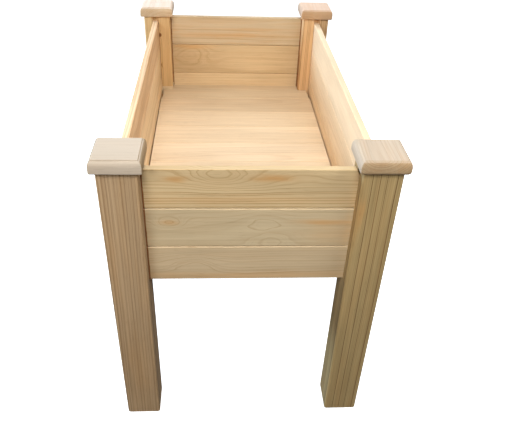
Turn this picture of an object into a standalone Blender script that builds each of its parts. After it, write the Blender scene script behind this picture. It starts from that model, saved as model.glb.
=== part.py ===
"""Raised wooden planter: a box of tongue-and-groove boards carried between four grooved posts.

Metres, +Z up. The origin is on the ground in the middle of the planter, the long side runs
along Y and the short side along X.
"""
import math

import bmesh
import bpy

# Overall sizes, measured over the outer faces of the posts
PLANTER_WIDTH = 0.655
PLANTER_LENGTH = 1.150

# Posts
POST_SIDE = 0.090
POST_HEIGHT = 0.800
POST_ARRIS_RADIUS = 0.006
POST_ARRIS_SEGMENTS = 5
FOOT_CHAMFER = 0.0055

# Grooves in the posts that hold the ends of the wall boards
GROOVE_OFFSET = 0.0315
GROOVE_DEPTH = 0.012
GROOVE_END_CLEARANCE = 0.001

# Caps, and the dowel that pins each cap to its post
CAP_OVERHANG = 0.0105
CAP_THICKNESS = 0.032
CAP_LIP_INSET = 0.0068
CAP_LIP_HEIGHT = 0.0018
CAP_NOSE_RADIUS = 0.014
CAP_BASE_ROUND = 0.0035
CAP_ARC_SEGMENTS = 5
DOWEL_DIAMETER = 0.010
DOWEL_DEPTH_IN_CAP = 0.016
DOWEL_DEPTH_IN_POST = 0.024
DOWEL_TIP_CHAMFER = 0.001

# Boards of the walls and the floor
BOARD_THICKNESS = 0.018
WALL_TOP_BOARD_COVER = 0.1015
WALL_BOARD_COVER = 0.108
WALL_BOTTOM_BOARD_COVER = 0.1005
WALL_MIDDLE_BOARDS = 1
END_WALL_DROP = 0.010
SIDE_WALL_DROP = 0.016
TONGUE_THICKNESS = 0.005
TONGUE_HEIGHT = 0.006
TONGUE_TIP_CHAMFER = 0.0008
TONGUE_TIP_CLEARANCE = 0.0008
WALL_JOINT_CHAMFER = 0.0022
FLOOR_JOINT_CHAMFER = 0.0008
EDGE_ROUND = 0.0018
EDGE_SEGMENTS = 3

# Floor
FLOOR_DEPTH = 0.268
FLOOR_BOARD_TARGET_COVER = 0.117
FLOOR_END_GAP = 0.0010
FLOOR_CORNER_BOARD_END_GAP = 0.0075
POST_NOTCH_CLEARANCE = 0.0015

# Bearers under the floor
BEARER_HEIGHT = 0.030
BEARER_WIDTH = 0.030
CENTRE_BEARER_WIDTH = 0.045
BEARER_ARRIS = 0.0015

# Wood screws
SCREW_HEAD_DIAMETER = 0.008
SCREW_HEAD_HEIGHT = 0.0026
SCREW_SHANK_DIAMETER = 0.004
SCREW_TIP_LENGTH = 0.005
SCREW_SOCKET_DIAMETER = 0.0036
SCREW_SOCKET_DEPTH = 0.0016
SCREW_HEAD_SINK = 0.0004
SCREW_LENGTH = 0.040
LAP_SCREW_LENGTH = 0.025
SIDE_BEARER_SCREWS = 4
END_CLEAT_SCREWS = 2
SCREW_END_DISTANCE = 0.090
ROUND_STEPS = 16

# Gap kept between touching pieces
GAP = 0.0003
# How far a cutter runs past the face that it leaves
PAST = 0.002
MERGE_DISTANCE = 0.00002

# Places that follow from the sizes above
HALF_WIDTH = PLANTER_WIDTH / 2
HALF_LENGTH = PLANTER_LENGTH / 2
WALL_INNER_OFFSET = GROOVE_OFFSET + BOARD_THICKNESS
INNER_HALF_WIDTH = HALF_WIDTH - WALL_INNER_OFFSET
INNER_HALF_LENGTH = HALF_LENGTH - WALL_INNER_OFFSET
WALL_HEIGHT = WALL_TOP_BOARD_COVER + WALL_MIDDLE_BOARDS * WALL_BOARD_COVER + WALL_BOTTOM_BOARD_COVER
END_WALL_BOTTOM = POST_HEIGHT - END_WALL_DROP - WALL_HEIGHT
SIDE_WALL_BOTTOM = POST_HEIGHT - SIDE_WALL_DROP - WALL_HEIGHT
FLOOR_TOP = POST_HEIGHT - FLOOR_DEPTH
FLOOR_BOARDS = max(2, round(2 * INNER_HALF_LENGTH / FLOOR_BOARD_TARGET_COVER))
FLOOR_BOARD_COVER = 2 * INNER_HALF_LENGTH / FLOOR_BOARDS
BEARER_TOP = FLOOR_TOP - BOARD_THICKNESS - GAP
BEARER_MIDDLE = BEARER_TOP - BEARER_HEIGHT / 2
GROOVE_WIDTH = BOARD_THICKNESS + 2 * GAP

POST_NAMES = {(-1, -1): "front_left", (1, -1): "front_right", (-1, 1): "rear_left", (1, 1): "rear_right"}
END_NAMES = {-1: "front", 1: "rear"}
SIDE_NAMES = {-1: "left", 1: "right"}
LEVEL_NAMES = ["bottom"] + ["middle"] * WALL_MIDDLE_BOARDS + ["top"]

# Rotations that lay an outline's length along an axis of the planter
ALONG_X_STANDING = (math.radians(90), 0.0, math.radians(90))
ALONG_Y_STANDING = (math.radians(90), 0.0, 0.0)
ALONG_X_FLAT = (0.0, math.radians(-90), 0.0)


def clear_scene():
    """Remove every object that is already there."""
    for old in list(bpy.data.objects):
        bpy.data.objects.remove(old)


def new_collection(name):
    """Make a collection in the scene."""
    collection = bpy.data.collections.new(name)
    bpy.context.scene.collection.children.link(collection)
    return collection


def new_material(name, colour, roughness, metallic=0.0):
    """Make a plain Principled material."""
    material = bpy.data.materials.new(name)
    material.use_nodes = True
    shader = material.node_tree.nodes["Principled BSDF"]
    shader.inputs["Base Color"].default_value = (*colour, 1.0)
    shader.inputs["Roughness"].default_value = roughness
    shader.inputs["Metallic"].default_value = metallic
    material.diffuse_color = (*colour, 1.0)
    return material


clear_scene()
PARTS = new_collection("raised_planter")
CUTTERS = new_collection("planter_cutters")

FRAME = bpy.data.objects.new("planter_frame", None)
PARTS.objects.link(FRAME)

POST_PINE = new_material("post_pine", (0.43, 0.29, 0.15), 0.55)
WALL_PINE = new_material("wall_pine", (0.66, 0.45, 0.24), 0.55)
FLOOR_PINE = new_material("floor_pine", (0.72, 0.52, 0.32), 0.6)
CAP_PINE = new_material("cap_pine", (0.74, 0.60, 0.42), 0.5)
BEARER_PINE = new_material("bearer_pine", (0.60, 0.42, 0.24), 0.65)
DOWEL_BEECH = new_material("dowel_beech", (0.62, 0.43, 0.25), 0.6)
ZINC = new_material("zinc_plate", (0.62, 0.60, 0.50), 0.35, 1.0)


def mesh_object(name, build, material):
    """Make an object whose mesh is filled in by a function that takes a bmesh."""
    mesh = bpy.data.meshes.new(name)
    shape = bmesh.new()
    build(shape)
    shape.to_mesh(mesh)
    shape.free()
    piece = bpy.data.objects.new(name, mesh)
    if material is None:
        CUTTERS.objects.link(piece)
        piece.hide_render = True
        piece.display_type = "WIRE"
    else:
        PARTS.objects.link(piece)
        mesh.materials.append(material)
    piece.parent = FRAME
    return piece


def box(name, low, high, material=None, arris=0.0):
    """Make a box between two corners, with its long edges eased where arris is given."""
    size = [high[axis] - low[axis] for axis in range(3)]
    centre = [(high[axis] + low[axis]) / 2 for axis in range(3)]

    def build(shape):
        bmesh.ops.create_cube(shape, size=1.0)
        bmesh.ops.scale(shape, vec=size, verts=shape.verts)
        if arris > 0.0:
            longest = size.index(max(size))
            along = [edge for edge in shape.edges if runs_along(edge, longest)]
            bmesh.ops.bevel(shape, geom=along, offset=arris, segments=1, profile=0.5, affect="EDGES")

    piece = mesh_object(name, build, material)
    piece.location = centre
    return piece


def runs_along(edge, axis):
    """Say whether an edge is parallel to an axis."""
    step = edge.verts[1].co - edge.verts[0].co
    return abs(step[axis]) > 0.99 * step.length


def rod(name, diameter, length, location, rotation, material=None, tip=0.0):
    """Make a round bar whose middle is at a place, with chamfered ends where tip is given."""
    def build(shape):
        radius = diameter / 2
        bmesh.ops.create_cone(
            shape, cap_ends=True, segments=ROUND_STEPS, radius1=radius, radius2=radius, depth=length
        )
        if tip > 0.0:
            rims = [edge for edge in shape.edges if abs(edge.verts[0].co.z - edge.verts[1].co.z) < tip / 10]
            bmesh.ops.bevel(shape, geom=rims, offset=tip, segments=1, profile=0.5, affect="EDGES")

    piece = mesh_object(name, build, material)
    piece.location = location
    piece.rotation_euler = rotation
    return piece


def extrusion(name, outline, length, material):
    """Make a solid from a flat outline, as long as given, with its length along local Z."""
    curve = bpy.data.curves.new(name, "CURVE")
    curve.dimensions = "2D"
    curve.fill_mode = "BOTH"
    curve.extrude = length / 2
    spline = curve.splines.new("POLY")
    spline.points.add(len(outline) - 1)
    for point, (across, up) in zip(spline.points, outline):
        point.co = (across, up, 0.0, 1.0)
    spline.use_cyclic_u = True
    guide = bpy.data.objects.new(name + "_outline", curve)
    CUTTERS.objects.link(guide)
    seen = guide.evaluated_get(bpy.context.evaluated_depsgraph_get())
    mesh = bpy.data.meshes.new_from_object(seen)
    mesh.name = name
    bpy.data.objects.remove(guide)

    shape = bmesh.new()
    shape.from_mesh(mesh)
    bmesh.ops.remove_doubles(shape, verts=shape.verts, dist=MERGE_DISTANCE)
    bmesh.ops.recalc_face_normals(shape, faces=shape.faces)
    shape.to_mesh(mesh)
    shape.free()
    mesh.materials.clear()
    mesh.materials.append(material)
    piece = bpy.data.objects.new(name, mesh)
    PARTS.objects.link(piece)
    piece.parent = FRAME
    return piece


def turned(name, profile, steps, material):
    """Turn a profile, given as (radius, height) from the top of the axis down, about Z."""
    def build(shape):
        rim = [shape.verts.new((radius, 0.0, height)) for radius, height in profile]
        for upper, lower in zip(rim, rim[1:]):
            shape.edges.new((upper, lower))

    piece = mesh_object(name, build, material)
    screw = piece.modifiers.new("turn", "SCREW")
    screw.axis = "Z"
    screw.steps = steps
    screw.render_steps = steps
    screw.use_merge_vertices = True
    screw.merge_threshold = MERGE_DISTANCE
    screw.use_smooth_shade = steps > 4
    return piece


def cut(piece, cutter):
    """Cut one object out of another."""
    boolean = piece.modifiers.new("cut_" + cutter.name, "BOOLEAN")
    boolean.operation = "DIFFERENCE"
    boolean.solver = "EXACT"
    boolean.object = cutter


def arc(centre_across, centre_up, radius, start, end, segments):
    """Points on an arc between two angles in degrees, both ends included."""
    points = []
    for step in range(segments + 1):
        angle = math.radians(start + (end - start) * step / segments)
        points.append((centre_across + radius * math.cos(angle), centre_up + radius * math.sin(angle)))
    return points


def half_top_edge(height, joint_chamfer, has_tongue):
    """Upper edge of a board's outline, from its face to the middle of its thickness."""
    face = BOARD_THICKNESS / 2
    if not has_tongue:
        return arc(face - EDGE_ROUND, height - EDGE_ROUND, EDGE_ROUND, 0, 90, EDGE_SEGMENTS)
    half = TONGUE_THICKNESS / 2
    tip = height + TONGUE_HEIGHT
    return [
        (face, height - joint_chamfer),
        (face - joint_chamfer, height),
        (half, height),
        (half, tip - TONGUE_TIP_CHAMFER),
        (half - TONGUE_TIP_CHAMFER, tip),
    ]


def half_bottom_edge(joint_chamfer, has_groove):
    """Lower edge of a board's outline, from the middle of its thickness to its face."""
    face = BOARD_THICKNESS / 2
    if not has_groove:
        return arc(face - EDGE_ROUND, EDGE_ROUND, EDGE_ROUND, -90, 0, EDGE_SEGMENTS)
    half = TONGUE_THICKNESS / 2 + GAP
    roof = TONGUE_HEIGHT + GAP + TONGUE_TIP_CLEARANCE
    return [(half, roof), (half, 0.0), (face - joint_chamfer, 0.0), (face, joint_chamfer)]


def board_outline(cover, joint_chamfer, has_groove, has_tongue):
    """Outline of a board across its grain: thickness across, height up from its lower shoulder."""
    height = cover - GAP
    right = half_bottom_edge(joint_chamfer, has_groove) + half_top_edge(height, joint_chamfer, has_tongue)
    left = [(-across, up) for across, up in reversed(right)]
    return right + left


def wall_levels(bottom):
    """Name, underside, cover, and whether it has a groove and a tongue, for each board of a wall."""
    covers = [WALL_BOTTOM_BOARD_COVER] + [WALL_BOARD_COVER] * WALL_MIDDLE_BOARDS + [WALL_TOP_BOARD_COVER]
    last = len(covers) - 1
    levels = []
    under = bottom
    for index, cover in enumerate(covers):
        name = LEVEL_NAMES[index]
        if name == "middle" and WALL_MIDDLE_BOARDS > 1:
            name = "middle_%d" % index
        levels.append((name, under, cover, index > 0, index < last))
        under += cover
    return levels


def spread(count, half_span):
    """Evenly spaced places along a line that is centred on zero."""
    if count == 1:
        return [0.0]
    return [half_span * (2 * index / (count - 1) - 1) for index in range(count)]


def build_posts():
    """Four square posts with eased arrises, two wall grooves and a dowel hole each."""
    def build(shape):
        bmesh.ops.create_cube(shape, size=1.0)
        bmesh.ops.scale(shape, vec=(POST_SIDE, POST_SIDE, POST_HEIGHT), verts=shape.verts)
        bmesh.ops.translate(shape, vec=(0.0, 0.0, POST_HEIGHT / 2), verts=shape.verts)
        upright = [edge for edge in shape.edges if runs_along(edge, 2)]
        bmesh.ops.bevel(
            shape, geom=upright, offset=POST_ARRIS_RADIUS, segments=POST_ARRIS_SEGMENTS, profile=0.5,
            affect="EDGES",
        )
        foot = [edge for edge in shape.edges if max(vert.co.z for vert in edge.verts) < FOOT_CHAMFER]
        bmesh.ops.bevel(shape, geom=foot, offset=FOOT_CHAMFER, segments=1, profile=0.5, affect="EDGES")

    for (side, end), corner in POST_NAMES.items():
        post = mesh_object("post_" + corner, build, POST_PINE)
        axis_x = side * (HALF_WIDTH - POST_SIDE / 2)
        axis_y = end * (HALF_LENGTH - POST_SIDE / 2)
        post.location = (axis_x, axis_y, 0.0)
        top = POST_HEIGHT + PAST

        inner_x = side * (HALF_WIDTH - POST_SIDE)
        middle_y = end * (HALF_LENGTH - GROOVE_OFFSET - BOARD_THICKNESS / 2)
        floor_of_groove = inner_x + side * GROOVE_DEPTH
        open_side = inner_x - side * PAST
        cut(post, box(
            "end_wall_groove_" + corner,
            (min(floor_of_groove, open_side), middle_y - GROOVE_WIDTH / 2, END_WALL_BOTTOM - GAP),
            (max(floor_of_groove, open_side), middle_y + GROOVE_WIDTH / 2, top),
        ))

        inner_y = end * (HALF_LENGTH - POST_SIDE)
        middle_x = side * (HALF_WIDTH - GROOVE_OFFSET - BOARD_THICKNESS / 2)
        floor_of_groove = inner_y + end * GROOVE_DEPTH
        open_side = inner_y - end * PAST
        cut(post, box(
            "side_wall_groove_" + corner,
            (middle_x - GROOVE_WIDTH / 2, min(floor_of_groove, open_side), SIDE_WALL_BOTTOM - GAP),
            (middle_x + GROOVE_WIDTH / 2, max(floor_of_groove, open_side), top),
        ))

        hole_depth = DOWEL_DEPTH_IN_POST + GAP
        cut(post, rod(
            "post_dowel_hole_" + corner, DOWEL_DIAMETER + 2 * GAP, hole_depth + PAST,
            (axis_x, axis_y, POST_HEIGHT - (hole_depth - PAST) / 2), (0.0, 0.0, 0.0),
        ))


def cap_profile():
    """Half section of a cap from its top centre to its underside centre, as (half side, height)."""
    half = POST_SIDE / 2 + CAP_OVERHANG
    lip = half - CAP_LIP_INSET
    nose_top = CAP_THICKNESS - CAP_LIP_HEIGHT
    nose_height = nose_top - CAP_NOSE_RADIUS
    nose = []
    for step in range(CAP_ARC_SEGMENTS + 1):
        angle = math.radians(90 * step / CAP_ARC_SEGMENTS)
        nose.append((lip + CAP_LIP_INSET * math.sin(angle), nose_height + CAP_NOSE_RADIUS * math.cos(angle)))
    base = arc(half - CAP_BASE_ROUND, CAP_BASE_ROUND, CAP_BASE_ROUND, 0, -90, CAP_ARC_SEGMENTS)
    return [(0.0, CAP_THICKNESS), (lip - CAP_LIP_HEIGHT / 2, CAP_THICKNESS)] + nose + base + [(0.0, 0.0)]


def build_caps():
    """Four square caps with a stepped, rounded nose on all sides, and the dowels under them."""
    to_corner = math.sqrt(2)
    underside = POST_HEIGHT + GAP
    for (side, end), corner in POST_NAMES.items():
        axis_x = side * (HALF_WIDTH - POST_SIDE / 2)
        axis_y = end * (HALF_LENGTH - POST_SIDE / 2)
        profile = [(half * to_corner, height) for half, height in cap_profile()]
        cap = turned("cap_" + corner, profile, 4, CAP_PINE)
        cap.location = (axis_x, axis_y, underside)
        cap.rotation_euler = (0.0, 0.0, math.radians(45))

        hole_depth = DOWEL_DEPTH_IN_CAP + GAP
        cut(cap, rod(
            "cap_dowel_hole_" + corner, DOWEL_DIAMETER + 2 * GAP, hole_depth + PAST,
            (axis_x, axis_y, underside + (hole_depth - PAST) / 2), (0.0, 0.0, 0.0),
        ))
        low = POST_HEIGHT - DOWEL_DEPTH_IN_POST
        high = underside + DOWEL_DEPTH_IN_CAP
        rod(
            "cap_dowel_" + corner, DOWEL_DIAMETER, high - low,
            (axis_x, axis_y, (low + high) / 2), (0.0, 0.0, 0.0), DOWEL_BEECH, DOWEL_TIP_CHAMFER,
        )


def build_end_walls():
    """The short walls: boards along X, their ends held in the posts' grooves."""
    length = PLANTER_WIDTH - 2 * POST_SIDE + 2 * (GROOVE_DEPTH - GROOVE_END_CLEARANCE)
    boards = {}
    for end, end_name in END_NAMES.items():
        middle_y = end * (HALF_LENGTH - GROOVE_OFFSET - BOARD_THICKNESS / 2)
        for level, under, cover, has_groove, has_tongue in wall_levels(END_WALL_BOTTOM):
            outline = board_outline(cover, WALL_JOINT_CHAMFER, has_groove, has_tongue)
            board = extrusion("%s_wall_board_%s" % (end_name, level), outline, length, WALL_PINE)
            board.rotation_euler = ALONG_X_STANDING
            board.location = (0.0, middle_y, under)
            boards[end, level] = board
    return boards


def build_side_walls():
    """The long walls: boards along Y, their ends held in the posts' grooves."""
    length = PLANTER_LENGTH - 2 * POST_SIDE + 2 * (GROOVE_DEPTH - GROOVE_END_CLEARANCE)
    boards = {}
    for side, side_name in SIDE_NAMES.items():
        middle_x = side * (HALF_WIDTH - GROOVE_OFFSET - BOARD_THICKNESS / 2)
        for level, under, cover, has_groove, has_tongue in wall_levels(SIDE_WALL_BOTTOM):
            outline = board_outline(cover, WALL_JOINT_CHAMFER, has_groove, has_tongue)
            board = extrusion("%s_wall_board_%s" % (side_name, level), outline, length, WALL_PINE)
            board.rotation_euler = ALONG_Y_STANDING
            board.location = (middle_x, 0.0, under)
            boards[side, level] = board
    return boards


def build_floor():
    """Boards across the width, tongued into each other, the outer two notched round the posts."""
    middle_z = FLOOR_TOP - BOARD_THICKNESS / 2
    first_edge = -INNER_HALF_LENGTH + GAP
    last = FLOOR_BOARDS - 1
    for index in range(FLOOR_BOARDS):
        at_a_corner = index in (0, last)
        end_gap = FLOOR_CORNER_BOARD_END_GAP if at_a_corner else FLOOR_END_GAP
        cover = FLOOR_BOARD_COVER - (GAP if index == last else 0.0)
        outline = board_outline(cover, FLOOR_JOINT_CHAMFER, index > 0, index < last)
        name = "floor_board_%d" % (index + 1)
        board = extrusion(name, outline, 2 * (INNER_HALF_WIDTH - end_gap), FLOOR_PINE)
        board.rotation_euler = ALONG_X_FLAT
        board.location = (0.0, first_edge + index * FLOOR_BOARD_COVER, middle_z)
        if at_a_corner:
            end = -1 if index == 0 else 1
            notch_floor_board(board, name, end)


def notch_floor_board(board, name, end):
    """Cut both corners of an outer floor board clear of the posts."""
    reach = POST_SIDE + POST_NOTCH_CLEARANCE
    for side, side_name in SIDE_NAMES.items():
        inner_x = side * (HALF_WIDTH - reach)
        inner_y = end * (HALF_LENGTH - reach)
        outer_x = side * HALF_WIDTH
        outer_y = end * HALF_LENGTH
        cut(board, box(
            "%s_notch_%s" % (name, side_name),
            (min(inner_x, outer_x), min(inner_y, outer_y), FLOOR_TOP - BOARD_THICKNESS - PAST),
            (max(inner_x, outer_x), max(inner_y, outer_y), FLOOR_TOP + PAST),
        ))


def screw_profile(length):
    """Half section of a countersunk screw, as (radius, height), its head's face at height 0."""
    head = SCREW_HEAD_DIAMETER / 2
    shank = SCREW_SHANK_DIAMETER / 2
    socket = SCREW_SOCKET_DIAMETER / 2
    return [
        (0.0, -SCREW_SOCKET_DEPTH),
        (socket, 0.0),
        (head, 0.0),
        (head, -SCREW_HEAD_SINK),
        (shank, -SCREW_HEAD_HEIGHT),
        (shank, -(length - SCREW_TIP_LENGTH)),
        (0.0, -length),
    ]


def screw_hole_profile(length):
    """Half section of the hole that a screw sits in, a gap wider all round."""
    head = SCREW_HEAD_DIAMETER / 2 + GAP
    shank = SCREW_SHANK_DIAMETER / 2 + GAP
    return [
        (0.0, PAST),
        (head, PAST),
        (head, -SCREW_HEAD_SINK - GAP),
        (shank, -SCREW_HEAD_HEIGHT - GAP),
        (shank, -length - GAP),
        (0.0, -length - GAP),
    ]


def drive_screw(name, length, face, rotation, pieces):
    """Set a screw with its head flush in a face, and cut its hole in the pieces that it joins."""
    screw = turned(name, screw_profile(length), ROUND_STEPS, ZINC)
    hole = turned(name + "_hole", screw_hole_profile(length), ROUND_STEPS, None)
    for piece in (screw, hole):
        piece.location = face
        piece.rotation_euler = rotation
    for piece in pieces:
        cut(piece, hole)


def build_bearers(end_boards, side_boards):
    """Bearers under the floor: two along the long walls, two cleats at the ends, one in the middle."""
    under = BEARER_TOP - BEARER_HEIGHT
    half_run = INNER_HALF_LENGTH - GAP
    clear_of_posts = HALF_LENGTH - POST_SIDE - POST_NOTCH_CLEARANCE
    outer_x = INNER_HALF_WIDTH - GAP
    for side, side_name in SIDE_NAMES.items():
        near = side * (outer_x - BEARER_WIDTH)
        far = side * outer_x
        bearer = box(
            "side_bearer_" + side_name,
            (min(near, far), -clear_of_posts, under), (max(near, far), clear_of_posts, BEARER_TOP),
            BEARER_PINE, BEARER_ARRIS,
        )
        rotation = (0.0, math.radians(-90 * side), 0.0)
        for index, place in enumerate(spread(SIDE_BEARER_SCREWS, clear_of_posts - SCREW_END_DISTANCE)):
            drive_screw(
                "side_bearer_screw_%s_%d" % (side_name, index + 1), SCREW_LENGTH,
                (near, place, BEARER_MIDDLE), rotation, (bearer, side_boards[side, "bottom"]),
            )

    cleat_half = HALF_WIDTH - POST_SIDE - POST_NOTCH_CLEARANCE
    lap_level = BEARER_MIDDLE
    cleats = {}
    for end, end_name in END_NAMES.items():
        near = end * (half_run - BEARER_WIDTH)
        far = end * half_run
        cleat = box(
            "end_cleat_" + end_name,
            (-cleat_half, min(near, far), under), (cleat_half, max(near, far), BEARER_TOP),
            BEARER_PINE, BEARER_ARRIS,
        )
        cleats[end] = cleat
        housing = CENTRE_BEARER_WIDTH / 2 + GAP
        cut(cleat, box(
            "end_cleat_housing_" + end_name,
            (-housing, min(near, far) - PAST, lap_level - GAP / 2),
            (housing, max(near, far) + PAST, BEARER_TOP + PAST),
        ))
        rotation = (math.radians(90 * end), 0.0, 0.0)
        for index, place in enumerate(spread(END_CLEAT_SCREWS, cleat_half - SCREW_END_DISTANCE)):
            drive_screw(
                "end_cleat_screw_%s_%d" % (end_name, index + 1), SCREW_LENGTH,
                (place, near, BEARER_MIDDLE), rotation, (cleat, end_boards[end, "bottom"]),
            )

    centre = box(
        "centre_bearer",
        (-CENTRE_BEARER_WIDTH / 2, -half_run, under), (CENTRE_BEARER_WIDTH / 2, half_run, BEARER_TOP),
        BEARER_PINE, BEARER_ARRIS,
    )
    for end, end_name in END_NAMES.items():
        shoulder = end * (half_run - BEARER_WIDTH - GAP)
        beyond = end * (half_run + PAST)
        cut(centre, box(
            "centre_bearer_lap_" + end_name,
            (-CENTRE_BEARER_WIDTH, min(shoulder, beyond), under - PAST),
            (CENTRE_BEARER_WIDTH, max(shoulder, beyond), lap_level + GAP / 2),
        ))
        drive_screw(
            "lap_screw_" + end_name, LAP_SCREW_LENGTH,
            (0.0, end * (half_run - BEARER_WIDTH / 2), under), (math.radians(180), 0.0, 0.0),
            (cleats[end], centre),
        )


build_posts()
build_caps()
end_wall_boards = build_end_walls()
side_wall_boards = build_side_walls()
build_floor()
build_bearers(end_wall_boards, side_wall_boards)
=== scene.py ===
"""Raised timber planter: planed pine posts, caps, tongued boards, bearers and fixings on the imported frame."""

import math

import bmesh
import bpy
from mathutils import Matrix, Vector, noise


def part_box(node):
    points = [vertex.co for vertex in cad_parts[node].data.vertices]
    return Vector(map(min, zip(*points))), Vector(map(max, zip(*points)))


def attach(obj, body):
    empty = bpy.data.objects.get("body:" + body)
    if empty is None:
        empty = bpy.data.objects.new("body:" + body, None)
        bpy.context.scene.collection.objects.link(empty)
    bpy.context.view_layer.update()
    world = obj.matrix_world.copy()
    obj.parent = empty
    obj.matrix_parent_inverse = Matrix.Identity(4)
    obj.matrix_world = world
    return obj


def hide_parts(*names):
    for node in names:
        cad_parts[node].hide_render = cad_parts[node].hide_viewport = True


bl_info = {
    "name": "Raised planter on legs",
    "version": (1, 0, 0),
    "blender": (4, 5, 0),
    "location": "View3D > Sidebar > Planter",
    "description": "Planed pine planter box on four capped posts",
    "category": "Add Mesh",
}

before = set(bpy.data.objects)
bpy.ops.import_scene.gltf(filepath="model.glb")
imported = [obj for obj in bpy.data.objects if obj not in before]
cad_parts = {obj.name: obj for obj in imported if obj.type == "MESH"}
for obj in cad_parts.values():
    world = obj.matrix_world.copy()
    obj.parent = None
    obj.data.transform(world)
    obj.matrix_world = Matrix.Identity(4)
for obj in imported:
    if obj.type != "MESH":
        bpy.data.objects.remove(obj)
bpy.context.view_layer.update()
ROOT = "root"

X = Vector((1.0, 0.0, 0.0))
Y = Vector((0.0, 1.0, 0.0))
Z = Vector((0.0, 0.0, 1.0))

# How a stick lies: along its grain, across its face, through its thickness
UPRIGHT = (Z, X, Y)
ALONG_X_ON_EDGE = (X, Z, -Y)
ALONG_Y_ON_EDGE = (Y, Z, X)
ALONG_X_FLAT = (X, Y, Z)
ALONG_Y_FLAT = (Y, -X, Z)

CORNERS = {"front_left": (-1, -1), "front_right": (1, -1), "rear_left": (-1, 1), "rear_right": (1, 1)}
LEVELS = ("bottom", "middle", "top")
FLOOR_BOARDS = len([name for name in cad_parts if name.startswith("floor_board_")])

# Joints between boards, as the frame has them
TONGUE_HALF = 0.0025
TONGUE_HEIGHT = 0.006
GROOVE_HALF = 0.0028
GROOVE_DEPTH = 0.0071
BOARD_GAP = 0.0003
GROOVE_END_CLEARANCE = 0.001
NOTCH_CLEARANCE = 0.0015
# How far beside an eased edge the flat face is held, and how far a cutter runs past what it cuts
HOLD = 0.002
PAST = 0.01
# Easing at the top of a post and at the ends of a board
TOP_EASE = 0.0006
END_EASE = 0.0005


def srgb(red, green, blue):
    """Linear colour of a paint-chart colour given from 0 to 255."""
    def linear(value):
        share = value / 255
        return share / 12.92 if share <= 0.04045 else ((share + 0.055) / 1.055) ** 2.4
    return (linear(red), linear(green), linear(blue))


# ---------------------------------------------------------------- sizes and colours that a user may change

def length_property(name, description, default, largest):
    """A length in metres."""
    return bpy.props.FloatProperty(
        name=name, description=description, default=default, min=0.0, max=largest,
        precision=5, subtype="DISTANCE", unit="LENGTH",
    )


def colour_property(name, description, default):
    """A colour swatch."""
    return bpy.props.FloatVectorProperty(
        name=name, description=description, default=default, size=3, min=0.0, max=1.0, subtype="COLOR"
    )


def power_property(name, description, default):
    """Power of a lamp in watts."""
    return bpy.props.FloatProperty(name=name, description=description, default=default, min=0.0, unit="POWER")


class PlanterShape(bpy.types.PropertyGroup):
    """Edge treatment of the planter's timber."""
    post_arris: length_property("Post arris", "Radius of the posts' long edges", 0.006, 0.012)
    foot_chamfer: length_property("Foot chamfer", "Chamfer round the foot of each post", 0.0055, 0.0058)
    board_arris: length_property("Board arris", "Radius of the boards' free edges", 0.0018, 0.004)
    wall_joint: length_property("Wall joint", "Chamfer at each joint of the walls", 0.0022, 0.004)
    floor_joint: length_property("Floor joint", "Chamfer at each joint of the floor", 0.0008, 0.003)
    wall_gap: length_property("Wall gap", "Open line between two wall boards", 0.0008, 0.002)
    floor_gap: length_property("Floor gap", "Open line between two floor boards", 0.0010, 0.002)
    groove_ease: length_property("Groove ease", "Open line beside a wall in a post's groove", 0.0010, 0.002)
    unevenness: length_property("Unevenness", "How far planed faces fall short of flat", 0.00016, 0.0005)


class PlanterTimber(bpy.types.PropertyGroup):
    """Colours of the planter's timber and metal."""
    post_early: colour_property("Post spring wood", "Pale part of the posts' rings", srgb(196, 168, 128))
    post_late: colour_property("Post summer wood", "Dark part of the posts' rings", srgb(138, 100, 62))
    wall_early: colour_property("Board spring wood", "Pale part of the wall boards' rings", srgb(222, 194, 150))
    wall_late: colour_property("Board summer wood", "Dark part of the wall boards' rings", srgb(172, 130, 78))
    floor_early: colour_property("Floor spring wood", "Pale part of the floor boards' rings", srgb(229, 203, 165))
    floor_late: colour_property("Floor summer wood", "Dark part of the floor boards' rings", srgb(196, 156, 108))
    cap_early: colour_property("Cap spring wood", "Pale part of the caps' rings", srgb(222, 208, 186))
    cap_late: colour_property("Cap summer wood", "Dark part of the caps' rings", srgb(186, 158, 122))
    bearer_early: colour_property("Bearer spring wood", "Pale part of the bearers' rings", srgb(214, 184, 138))
    bearer_late: colour_property("Bearer summer wood", "Dark part of the bearers' rings", srgb(166, 122, 72))
    # Also the colour of the painted light bands beside the front posts
    resin: colour_property("Resin", "Orange streaks where the wood is rich in resin", srgb(206, 156, 96))
    knot: colour_property("Knot", "Heart of a knot", srgb(132, 86, 50))
    beech: colour_property("Dowel beech", "Beech of the cap dowels", srgb(206, 166, 124))
    zinc: colour_property("Zinc plate", "Yellow zinc of the screws", srgb(206, 194, 150))


class PlanterStage(bpy.types.PropertyGroup):
    """Floor, lamps and camera."""
    ground: colour_property("Ground", "Pale studio floor", srgb(250, 250, 250))
    top_power: power_property("Top lamp", "Power of the soft lamp overhead", 20.0)
    key_power: power_property("Key lamp", "Power of the soft lamp behind and above", 40.0)
    side_power: power_property("Side lamp", "Power of the low cool lamp at the left", 56.0)
    left_power: power_property("Left lamp", "Power of the soft lamp at the front left", 22.0)
    right_power: power_property("Right lamp", "Power of the soft lamp at the front right", 18.0)
    front_power: power_property("Front lamp", "Power of the soft lamp in front", 28.0)
    sky: bpy.props.FloatProperty(
        name="Sky", description="Strength of the even light from all round", default=0.035, min=0.0, max=4.0
    )
    lens: bpy.props.FloatProperty(
        name="Lens", description="Focal length on a 36 mm wide sensor", default=41.31, min=10.0, max=200.0,
        unit="CAMERA",
    )


# ---------------------------------------------------------------- meshes

def spread(start, end, count):
    """Evenly spaced numbers from start to end, both included."""
    return [start + (end - start) * step / (count - 1) for step in range(count)]


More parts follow.
